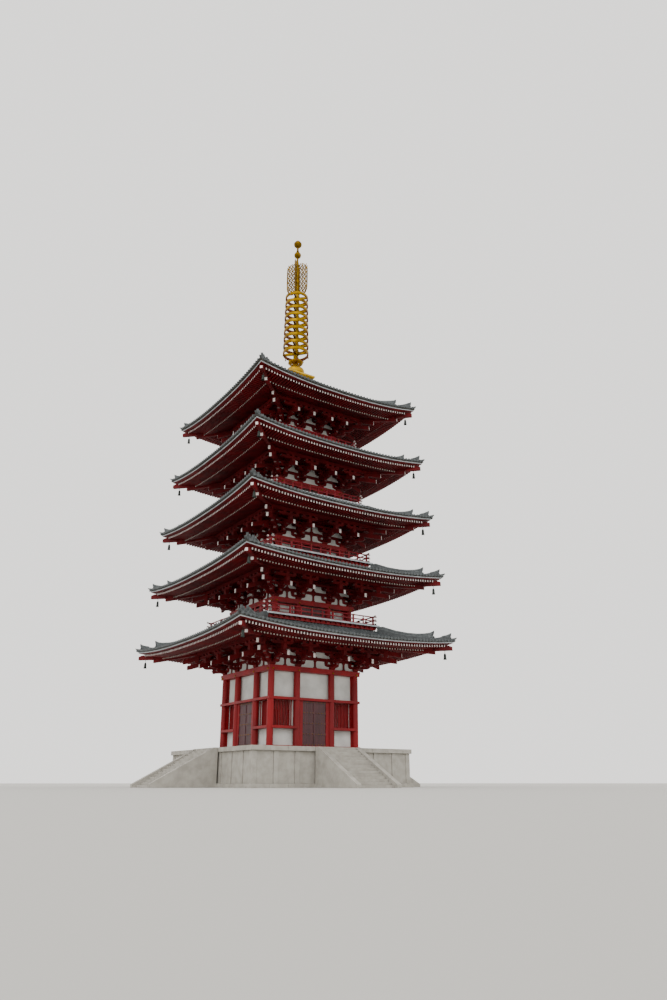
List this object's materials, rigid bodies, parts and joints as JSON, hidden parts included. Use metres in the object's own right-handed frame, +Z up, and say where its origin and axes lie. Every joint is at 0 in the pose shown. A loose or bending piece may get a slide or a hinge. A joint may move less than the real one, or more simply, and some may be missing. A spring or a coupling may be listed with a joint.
{
  "type": "five-storeyed pagoda, 1:2 scale model",
  "caption": "Tall timber pagoda with tiled curved roofs, bracketed eaves, railed balconies and a gilt finial, on a stone podium with steps; half-size model.",
  "frame": {"origin": "centre of the plan at ground level, under the stone podium", "axes": "+Z up along the finial's mast; -Y is the front face and +X the right-hand face"},
  "size_m": [11.42, 11.42, 24.9],
  "materials": {
    "stone": "matt cut stone",
    "red_timber": "satin red lacquer over timber",
    "dark_timber": "dark red lacquer over timber",
    "plaster": "matt lime plaster",
    "roof_tile": "dull smoked clay tile",
    "gilt": "gilded bronze, satin"
  },
  "bodies": {
    "root": {"stone_podium": "stone", "steps_front": "stone", "steps_right": "stone", "steps_back": "stone", "steps_left": "stone", "door_front": "red_timber", "door_right": "red_timber", "door_back": "red_timber", "door_left": "red_timber", "frame_1": "red_timber", "wall_1": "plaster", "brackets_1": "dark_timber", "eaves_1": "dark_timber", "roof_1": "roof_tile", "balcony_2": "red_timber", "balustrade_2": "red_timber", "frame_2": "red_timber", "wall_2": "plaster", "brackets_2": "dark_timber", "eaves_2": "dark_timber", "roof_2": "roof_tile", "balcony_3": "red_timber", "balustrade_3": "red_timber", "frame_3": "red_timber", "wall_3": "plaster", "brackets_3": "dark_timber", "eaves_3": "dark_timber", "roof_3": "roof_tile", "balcony_4": "red_timber", "balustrade_4": "red_timber", "frame_4": "red_timber", "wall_4": "plaster", "brackets_4": "dark_timber", "eaves_4": "dark_timber", "roof_4": "roof_tile", "balcony_5": "red_timber", "balustrade_5": "red_timber", "frame_5": "red_timber", "wall_5": "plaster", "brackets_5": "dark_timber", "eaves_5": "dark_timber", "roof_5": "roof_tile", "roban": "gilt", "bowl_and_lotus": "gilt", "mast": "gilt", "nine_rings": "gilt", "flame": "gilt"}
  },
  "joints": []
}
